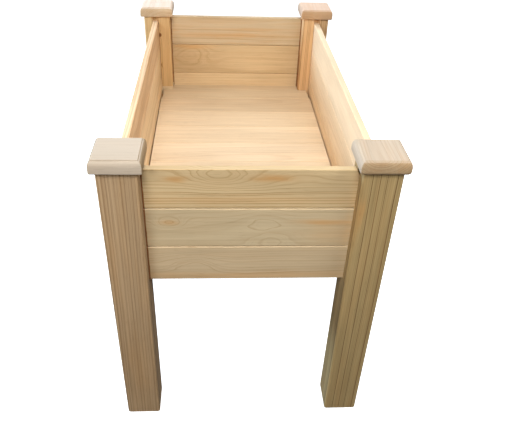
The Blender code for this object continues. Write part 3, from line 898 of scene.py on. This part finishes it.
def board_outline(cover, joint, gap, free_edge, grooved, tongued, half):
    """Section of a board: a groove below and a tongue above where it has them, faces eased at the edges."""
    shoulder = cover - gap
    rests = [(cover * share, half, 0.0) for share in (0.2, 0.4, 0.6, 0.8)]
    fine = min(0.0004, joint * 0.35)
    if grooved:
        under = [(GROOVE_DEPTH, GROOVE_HALF, 0.0), (0.0, GROOVE_HALF, 0.0002), (0.0, half - joint, fine),
                 (joint, half, fine)]
    else:
        under = [(0.0, half, free_edge)]
    if tongued:
        over = [(shoulder - joint, half, fine), (shoulder, half - joint, fine), (shoulder, TONGUE_HALF, 0.0),
                (cover + TONGUE_HEIGHT, TONGUE_HALF, 0.0007)]
    else:
        over = [(cover, half, free_edge)]
    front = under + rests + over
    return eased(front + [(across, -deep, radius) for across, deep, radius in reversed(front)], 4)


def board(node, axes, joint, gap, tongue_above, groove_below, grain, slot, ends=(0.0, 0.0), cutters=()):
    """One board of the walls or the floor, from its frame node's box, shortened at its ends where asked."""
    sizes = bpy.context.scene.planter_shape
    along, across, deep = axes
    low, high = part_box(node)
    middle = (low + high) / 2
    size = high - low
    length = abs(size.dot(along))
    half = abs(size.dot(deep)) / 2
    cover = abs(size.dot(across)) - (TONGUE_HEIGHT if tongue_above else 0.0)
    origin = middle - across * abs(size.dot(across)) / 2
    outline = board_outline(cover, joint, gap, sizes.board_arris, groove_below, tongue_above, half)
    start, finish = -length / 2 + ends[0], length / 2 - ends[1]
    stations = [(start, END_EASE), (start + END_EASE * 0.4, END_EASE * 0.35)]
    count = max(8, int(length / 0.03))
    stations += [(place, 0.0) for place in spread(start + END_EASE * 1.2, finish - END_EASE * 1.2, count)]
    stations += [(finish - END_EASE * 0.4, END_EASE * 0.35), (finish, END_EASE)]
    offset = sum(ord(letter) for letter in node) * 0.37
    sections = []
    for place, pulled in stations:
        section = []
        for up, out, rounded in inset(outline, pulled):
            spot = Vector((place * 5, up * 18 + offset, (1.0 if out > 0 else 4.0)))
            calm = min(1.0, max(0.0, (min(up, cover - up) - 0.006) / 0.02))
            shy = 1 - calm * sizes.unevenness / half * (0.5 + 0.5 * noise.noise(spot))
            section.append(((place, up, out * shy), rounded))
        sections.append(section)
    shape = bmesh.new()
    skin(shape, sections)
    piece = new_piece("timber_" + node, shape, lay(axes, origin))
    if cutters:
        cut_away(piece, cutters)
    smooth_and_mark(piece, 30.0)
    timber = bpy.context.scene.planter_timber
    kind = slot.split("_")[0]
    material = pine_material(node, getattr(timber, kind + "_early"), getattr(timber, kind + "_late"), grain)
    fit_out(piece, material, slot, node)


# Painted shade: a dark line in the knot colour where an end wall meets a post's face
LEFT_SEAM_SHADE, RIGHT_SEAM_SHADE = [((end, 0.0, 0.0), (1 / 0.0034, 0.0, 0.0), 0.0, 1.0) for end in (-0.2375, 0.2375)]
WALL_GRAIN = {
    "front_top": dict(
        pith=(0.0, 0.104, -0.045), ring=0.0066, waver=0.010, late=0.42, variety=0.35,
        contrast=0.42, fine=0.14, blush=0.12, lean=(0.0, 0.006, 0.0),
        swirls=(
            swell(-0.072, 0.090, 0.055, 0.026, -0.024),
            swell(-0.020, 0.062, 0.110, 0.030, -0.007),
            swell(0.110, 0.085, 0.07, 0.022, 0.007),
            LEFT_SEAM_SHADE,
        ),
        patches=(
            patch(-0.165, 0.077, 0.026, 0.007, 0.75),
            patch(0.050, 0.080, 0.050, 0.008, 0.8),
            patch(-0.06, 0.022, 0.25, 0.012, 0.3),
            # Painted reflection: the narrow upright band at the right end, beside the front-right post
            patch(0.238, 0.050, 0.014, 0.10, 0.15),
        ),
        bold=(
            patch(-0.25, 0.028, 0.28, 0.020, 0.9), patch(0.10, 0.026, 0.26, 0.018, 0.95),
            patch(-0.09, 0.085, 0.06, 0.022, 0.22),
        ),
    ),
    "front_middle": dict(
        pith=(0.0, 0.03, -0.14), ring=0.0052, waver=0.03, contrast=0.22, fine=0.12, blush=0.1,
        swirls=(
            swell(-0.181, 0.069, 0.030, 0.014, 0.012),
            swell(0.035, 0.075, 0.05, 0.030, -0.008),
            swell(0.050, 0.020, 0.05, 0.025, 0.009),
            LEFT_SEAM_SHADE,
        ),
        patches=(
            patch(0.175, 0.069, 0.060, 0.008, 0.6), patch(-0.185, 0.070, 0.022, 0.008, 0.5),
            # Painted light: the narrow upright bands at both ends, beside the front posts
            patch(0.20, 0.035, 0.07, 0.030, 0.3), patch(-0.235, 0.05, 0.012, 0.08, 0.2),
            patch(0.232, 0.050, 0.014, 0.10, 0.15),
        ),
        bold=(patch(-0.181, 0.069, 0.020, 0.012, 0.6), patch(0.04, 0.05, 0.05, 0.03, 0.12)),
    ),
    "front_bottom": dict(
        pith=(0.0, -0.02, -0.10), ring=0.0048, waver=0.03, contrast=0.28, fine=0.14, blush=0.12,
        swirls=(swell(-0.13, 0.055, 0.06, 0.030, -0.016), LEFT_SEAM_SHADE),
        patches=(
            # The second patch is painted light: a narrow upright band at the left end, beside the front-left post
            patch(0.0, 0.010, 0.35, 0.012, 0.45), patch(-0.235, 0.05, 0.012, 0.08, 0.2),
        ),
        bold=(patch(0.1, 0.014, 0.25, 0.014, 0.35), patch(-0.13, 0.06, 0.05, 0.03, 0.15)),
    ),
    "rear_top": dict(
        pith=(0.0, 0.10, 0.12), ring=0.0085, waver=0.012, late=0.4, contrast=0.42, blush=0.35,
        swirls=(LEFT_SEAM_SHADE, RIGHT_SEAM_SHADE),
        patches=(patch(-0.02, 0.035, 0.22, 0.010, 0.5), patch(0.05, 0.058, 0.15, 0.005, 0.4)),
        bold=(patch(0.0, 0.030, 0.3, 0.012, 0.5),),
    ),
    "rear_middle": dict(
        pith=(0.0, 0.04, 0.16), ring=0.007, waver=0.02, contrast=0.2, blush=0.2,
        swirls=(
            swell(-0.16, 0.085, 0.07, 0.05, -0.013), swell(-0.10, 0.06, 0.05, 0.03, 0.006),
            LEFT_SEAM_SHADE, RIGHT_SEAM_SHADE,
        ),
        patches=(patch(-0.165, 0.1, 0.07, 0.008, 0.6),),
        bold=(patch(-0.15, 0.07, 0.05, 0.04, 0.35),),
    ),
    "rear_bottom": dict(
        pith=(0.0, -0.03, 0.12), ring=0.008, waver=0.02, contrast=0.24, blush=0.25,
        swirls=(LEFT_SEAM_SHADE, RIGHT_SEAM_SHADE),
    ),
    "left_top": dict(pith=(0.0, 0.05, 0.15), ring=0.009, waver=0.02, late=0.6, contrast=0.5, blush=0.5),
    "left_middle": dict(pith=(0.0, 0.08, 0.1), ring=0.009, waver=0.02, late=0.5, contrast=0.34, blush=0.3),
    "left_bottom": dict(pith=(0.0, 0.02, 0.12), ring=0.008, waver=0.03, contrast=0.2, blush=0.2),
    "right_top": dict(pith=(0.0, 0.05, 0.15), ring=0.007, waver=0.02, contrast=0.12, blush=0.05, streaks=0.2),
    "right_middle": dict(pith=(0.0, 0.02, 0.14), ring=0.007, waver=0.02, contrast=0.12, blush=0.05, streaks=0.2),
    "right_bottom": dict(pith=(0.0, 0.06, 0.12), ring=0.008, waver=0.03, contrast=0.16, blush=0.12),
}


def front_corner_cut(node):
    """The small corner missing from the front wall's top board, beside the right-hand post."""
    low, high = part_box(node)
    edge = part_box("post_front_right")[0].x
    shape = bmesh.new()
    outline = [(edge - 0.0075, high.z + 0.002), (edge + 0.001, high.z - 0.017), (edge + 0.02, high.z - 0.017),
               (edge + 0.02, high.z + 0.002)]
    skin(shape, [[((x, y, z), 0.0) for x, z in outline] for y in (low.y - 0.002, high.y + 0.002)])
    return new_piece("corner_cut", shape, Matrix.Identity(4))


def add_walls(names, axes):
    """Walls of three tongued boards each, the lowest without a groove and the highest without a tongue."""
    sizes = bpy.context.scene.planter_shape
    for name in names:
        for index, level in enumerate(LEVELS):
            node = "%s_wall_board_%s" % (name, level)
            cutters = [front_corner_cut(node)] if (name, level) == ("front", "top") else []
            board(
                node, axes, sizes.wall_joint, sizes.wall_gap, index < 2, index > 0,
                WALL_GRAIN["%s_%s" % (name, level)], "wall_pine", cutters=cutters,
            )


def floor_cutters(index):
    """Notches round the posts for the outer floor boards, and the skewed end of the last one."""
    if index not in (1, FLOOR_BOARDS):
        return []
    end_name = "front" if index == 1 else "rear"
    low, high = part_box("floor_board_%d" % index)
    cutters = []
    for side_name in ("left", "right"):
        post_low, post_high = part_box("post_%s_%s" % (end_name, side_name))
        notch_low = [max(post - NOTCH_CLEARANCE, own - PAST) for post, own in zip(post_low, low)]
        notch_high = [min(post + NOTCH_CLEARANCE, own + PAST) for post, own in zip(post_high, high)]
        notch_low[2], notch_high[2] = low.z - PAST, high.z + PAST
        cutters.append(box_cutter("post_notch", notch_low, notch_high))
    if index == FLOOR_BOARDS:
        near, far = high.x + 0.0005, high.x - 0.0035
        outline = [(near, low.y - 0.002), (high.x + 0.02, low.y - 0.002), (high.x + 0.02, high.y), (far, high.y)]
        cutters.append(cutter("skewed_end", outline, low.z - PAST, high.z + PAST))
    return cutters


# Each floor board's grain is turned from the last one's, so that no two are alike
GOLDEN_ANGLE = 2.399
# The open line along the left wall widens from rear to front; the one along the right wall does not
FLOOR_GAP_REAR = 0.0010
FLOOR_GAP_SPREAD = 0.0035
FLOOR_GAP_RIGHT = 0.0022


def add_floor():
    """Nine tongued boards across the planter, the outer two notched round the posts."""
    sizes = bpy.context.scene.planter_shape
    for index in range(1, FLOOR_BOARDS + 1):
        turn = index * GOLDEN_ANGLE
        grain = dict(
            pith=(0.0, 0.058 + 0.09 * math.sin(turn), -0.10 - 0.05 * math.cos(turn)), ring=0.0062, waver=0.026,
            contrast=0.26, fine=0.08, blush=0.16, streaks=0.28, lean=(0.0, 0.03 * math.cos(turn), 0.0),
        )
        at_end = index in (1, FLOOR_BOARDS)
        left_gap = FLOOR_GAP_REAR + FLOOR_GAP_SPREAD * (FLOOR_BOARDS - index) / FLOOR_BOARDS
        board(
            "floor_board_%d" % index, ALONG_X_FLAT, sizes.floor_joint, sizes.floor_gap, index < FLOOR_BOARDS,
            index > 1, grain, "floor_pine", ends=(0.0, 0.0) if at_end else (left_gap, FLOOR_GAP_RIGHT),
            cutters=floor_cutters(index),
        )


# ---------------------------------------------------------------- bearers, dowels and screws

BEARER_AXES = {
    "side_bearer_left": "yxz", "side_bearer_right": "yxz", "centre_bearer": "yxz", "end_cleat_front": "xyz",
    "end_cleat_rear": "xyz",
}


def dress_node(node, material):
    """Give a frame node that stays in view a finished material."""
    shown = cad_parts[node]
    shown.data.materials.clear()
    shown.data.materials.append(material)


def add_bearers():
    """Rough pine bearers and cleats under the floor."""
    timber = bpy.context.scene.planter_timber
    for index, (node, axes) in enumerate(BEARER_AXES.items()):
        centre = sum(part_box(node), Vector()) / 2
        grain = {
            "pith": (0.0, centre["xyz".index(axes[1])] + 0.05, centre.z - 0.06 + 0.02 * index), "ring": 0.004,
            "contrast": 0.55, "fine": 0.15, "streaks": 0.6, "blush": 0.3,
        }
        dress_node(node, pine_material(node, timber.bearer_early, timber.bearer_late, grain, axes))


def add_fixings():
    """Beech dowels under the caps and zinc-plated screws in the bearers."""
    timber = bpy.context.scene.planter_timber
    grain = {"pith": (0.0, 0.5, 0.6), "ring": 0.002, "contrast": 0.2, "streaks": 0.5, "blush": 0.0}
    beech = pine_material("cap_dowels", timber.beech, [c * 0.8 for c in timber.beech], grain, "zxy")
    zinc = bpy.data.materials.new("zinc_plate")
    zinc.use_nodes = True
    bench = Bench(zinc.node_tree)
    shader = zinc.node_tree.nodes["Principled BSDF"]
    vector = bench.node("ShaderNodeTexCoord").outputs["Object"]
    cloud = bench.noise(bench.vector("SCALE", vector, 420.0), 3.0)[0]
    scratch = bench.noise(bench.stretch(vector, (2600.0, 2600.0, 300.0)), 2.0)[0]
    worn = bench.ease(cloud, 0.4, 0.7)
    bench.feed(shader.inputs["Base Color"], bench.mix(worn, list(timber.zinc), srgb(172, 170, 160)))
    bench.feed(shader.inputs["Roughness"], bench.plus(scratch, 0.35, 0.2))
    shader.inputs["Metallic"].default_value = 1.0
    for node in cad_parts:
        if node.startswith("cap_dowel_"):
            dress_node(node, beech)
        elif "screw" in node:
            dress_node(node, zinc)


# ---------------------------------------------------------------- stage

CAMERA_PLACE = Vector((-0.07462, -1.63307, 1.43775))
CAMERA_YAW, CAMERA_PITCH, CAMERA_ROLL = 0.0707, -0.6342, 0.0395
CAMERA_SHIFT = (0.0127, 0.0253)


def aim(place, target):
    """Matrix of a lamp at a place that shines at a target."""
    turn = (Vector(target) - Vector(place)).to_track_quat("-Z", "Y").to_matrix().to_4x4()
    turn.translation = place
    return turn


def add_lamp(name, place, target, size, power, colour):
    """A soft rectangular lamp."""
    lamp = bpy.data.lights.new(name, "AREA")
    lamp.shape = "RECTANGLE"
    lamp.size, lamp.size_y = size
    lamp.energy = power
    lamp.color = colour
    holder = bpy.data.objects.new(name, lamp)
    bpy.context.scene.collection.objects.link(holder)
    holder.matrix_world = aim(place, target)


def ground_material(colour):
    """Matt pale floor, seen a little brighter than the light that it throws back."""
    material = bpy.data.materials.new("studio_ground")
    material.use_nodes = True
    bench = Bench(material.node_tree)
    shader = material.node_tree.nodes["Principled BSDF"]
    seen = bench.node("ShaderNodeLightPath").outputs["Is Camera Ray"]
    mottle = bench.noise(bench.vector("SCALE", bench.node("ShaderNodeTexCoord").outputs["Object"], 3.0), 2.0)[0]
    tone = bench.plus(mottle, 0.02, 0.98)
    pale = bench.mix(1.0, colour, bench.join(tone, tone, tone), "MULTIPLY")
    bench.feed(shader.inputs["Base Color"], bench.mix(seen, (0.18, 0.17, 0.16), pale))
    shader.inputs["Roughness"].default_value = 0.9
    bench.feed(shader.inputs["Emission Color"], bench.mix(seen, (0.0, 0.0, 0.0), (1.0, 1.0, 1.0)))
    shader.inputs["Emission Strength"].default_value = 0.9
    return material


def add_stage():
    """Plain pale floor, soft lamps and the camera."""
    stage = bpy.context.scene.planter_stage
    scene = bpy.context.scene
    shape = bmesh.new()
    bmesh.ops.create_circle(shape, cap_ends=True, segments=96, radius=30.0)
    floor = new_piece("studio_ground", shape, Matrix.Translation((0.0, 0.0, -0.0004)))
    floor.data.materials.append(ground_material(list(stage.ground)))

    add_lamp("top_softbox", (-0.3, 0.6, 3.2), (0.0, 0.0, 0.6), (1.4, 1.4), stage.top_power, (1.0, 1.0, 1.0))
    add_lamp("key_softbox", (0.35, 2.45, 2.7), (0.0, 0.0, 0.6), (1.0, 1.0), stage.key_power, (1.0, 1.0, 1.0))
    add_lamp("side_window", (-2.3, 0.5, 1.3), (0.2, 0.0, 0.7), (0.9, 0.5), stage.side_power, (0.6, 0.8, 1.0))
    add_lamp("left_fill", (-1.3, -2.1, 1.9), (0.1, -0.2, 0.65), (1.0, 0.8), stage.left_power, (1.0, 0.94, 0.88))
    add_lamp("right_fill", (1.5, -1.3, 2.2), (-0.2, 0.2, 0.6), (1.0, 0.8), stage.right_power, (1.0, 0.96, 0.9))
    add_lamp("front_fill", (-0.1, -1.75, 2.3), (0.0, -0.4, 0.6), (0.8, 0.6), stage.front_power, (1.0, 0.98, 0.92))

    world = bpy.data.worlds.new("studio_air")
    world.use_nodes = True
    background = world.node_tree.nodes["Background"]
    bench = Bench(world.node_tree)
    seen = bench.node("ShaderNodeLightPath").outputs["Is Camera Ray"]
    background.inputs["Color"].default_value = (1.0, 0.985, 0.97, 1.0)
    bench.feed(background.inputs["Strength"], bench.between(seen, stage.sky, 1.0))
    scene.world = world
    scene.view_settings.view_transform = "Standard"

    camera = bpy.data.cameras.new("studio_camera")
    camera.sensor_width = 36.0
    camera.sensor_fit = "HORIZONTAL"
    camera.lens = stage.lens
    camera.shift_x, camera.shift_y = CAMERA_SHIFT
    camera.clip_start, camera.clip_end = 0.05, 100.0
    camera.dof.use_dof = False
    holder = bpy.data.objects.new("studio_camera", camera)
    scene.collection.objects.link(holder)
    forward = Vector((
        math.sin(CAMERA_YAW) * math.cos(CAMERA_PITCH), math.cos(CAMERA_YAW) * math.cos(CAMERA_PITCH),
        math.sin(CAMERA_PITCH),
    ))
    level_right = Vector((math.cos(CAMERA_YAW), -math.sin(CAMERA_YAW), 0.0))
    level_up = level_right.cross(forward)
    right = math.cos(CAMERA_ROLL) * level_right + math.sin(CAMERA_ROLL) * level_up
    up = -math.sin(CAMERA_ROLL) * level_right + math.cos(CAMERA_ROLL) * level_up
    holder.matrix_world = lay((right, up, -forward), CAMERA_PLACE)
    scene.camera = holder


# ---------------------------------------------------------------- operators and panel

class PLANTER_OT_posts(bpy.types.Operator):
    """Add the four posts"""
    bl_idname = "planter.posts"
    bl_label = "Posts"

    def execute(self, context):
        add_posts()
        return {"FINISHED"}


class PLANTER_OT_caps(bpy.types.Operator):
    """Add the four caps"""
    bl_idname = "planter.caps"
    bl_label = "Caps"

    def execute(self, context):
        add_caps()
        return {"FINISHED"}


class PLANTER_OT_end_walls(bpy.types.Operator):
    """Add the boards of the two short walls"""
    bl_idname = "planter.end_walls"
    bl_label = "End walls"

    def execute(self, context):
        add_walls(("front", "rear"), ALONG_X_ON_EDGE)
        return {"FINISHED"}


class PLANTER_OT_side_walls(bpy.types.Operator):
    """Add the boards of the two long walls"""
    bl_idname = "planter.side_walls"
    bl_label = "Side walls"

    def execute(self, context):
        add_walls(("left", "right"), ALONG_Y_ON_EDGE)
        return {"FINISHED"}


class PLANTER_OT_floor(bpy.types.Operator):
    """Add the floor boards"""
    bl_idname = "planter.floor"
    bl_label = "Floor"

    def execute(self, context):
        add_floor()
        return {"FINISHED"}


class PLANTER_OT_bearers(bpy.types.Operator):
    """Finish the bearers and cleats under the floor"""
    bl_idname = "planter.bearers"
    bl_label = "Bearers"

    def execute(self, context):
        add_bearers()
        return {"FINISHED"}


class PLANTER_OT_fixings(bpy.types.Operator):
    """Finish the dowels and screws"""
    bl_idname = "planter.fixings"
    bl_label = "Dowels and screws"

    def execute(self, context):
        add_fixings()
        return {"FINISHED"}


class PLANTER_OT_stage(bpy.types.Operator):
    """Add the floor, the lamps and the camera"""
    bl_idname = "planter.stage"
    bl_label = "Stage"

    def execute(self, context):
        add_stage()
        return {"FINISHED"}


OPERATORS = (
    PLANTER_OT_posts, PLANTER_OT_caps, PLANTER_OT_end_walls, PLANTER_OT_side_walls, PLANTER_OT_floor,
    PLANTER_OT_bearers, PLANTER_OT_fixings, PLANTER_OT_stage,
)


class PLANTER_PT_pieces(bpy.types.Panel):
    """Pieces of the planter"""
    bl_label = "Raised planter"
    bl_idname = "PLANTER_PT_pieces"
    bl_space_type = "VIEW_3D"
    bl_region_type = "UI"
    bl_category = "Planter"

    def draw(self, context):
        for operator in OPERATORS:
            self.layout.operator(operator.bl_idname)
        for settings in (context.scene.planter_shape, context.scene.planter_timber, context.scene.planter_stage):
            column = self.layout.column()
            for key in settings.__annotations__:
                column.prop(settings, key)


CLASSES = (PlanterShape, PlanterTimber, PlanterStage, *OPERATORS, PLANTER_PT_pieces)


def register():
    """Register the classes and hang their settings on the scene."""
    for item in CLASSES:
        bpy.utils.register_class(item)
    bpy.types.Scene.planter_shape = bpy.props.PointerProperty(type=PlanterShape)
    bpy.types.Scene.planter_timber = bpy.props.PointerProperty(type=PlanterTimber)
    bpy.types.Scene.planter_stage = bpy.props.PointerProperty(type=PlanterStage)


def unregister():
    """Take the settings off the scene and unregister the classes."""
    del bpy.types.Scene.planter_stage
    del bpy.types.Scene.planter_timber
    del bpy.types.Scene.planter_shape
    for item in reversed(CLASSES):
        bpy.utils.unregister_class(item)


def main():
    """Build every piece in order."""
    register()
    bpy.ops.planter.posts()
    bpy.ops.planter.caps()
    bpy.ops.planter.end_walls()
    bpy.ops.planter.side_walls()
    bpy.ops.planter.floor()
    bpy.ops.planter.bearers()
    bpy.ops.planter.fixings()
    bpy.ops.planter.stage()


if __name__ == "__main__":
    main()
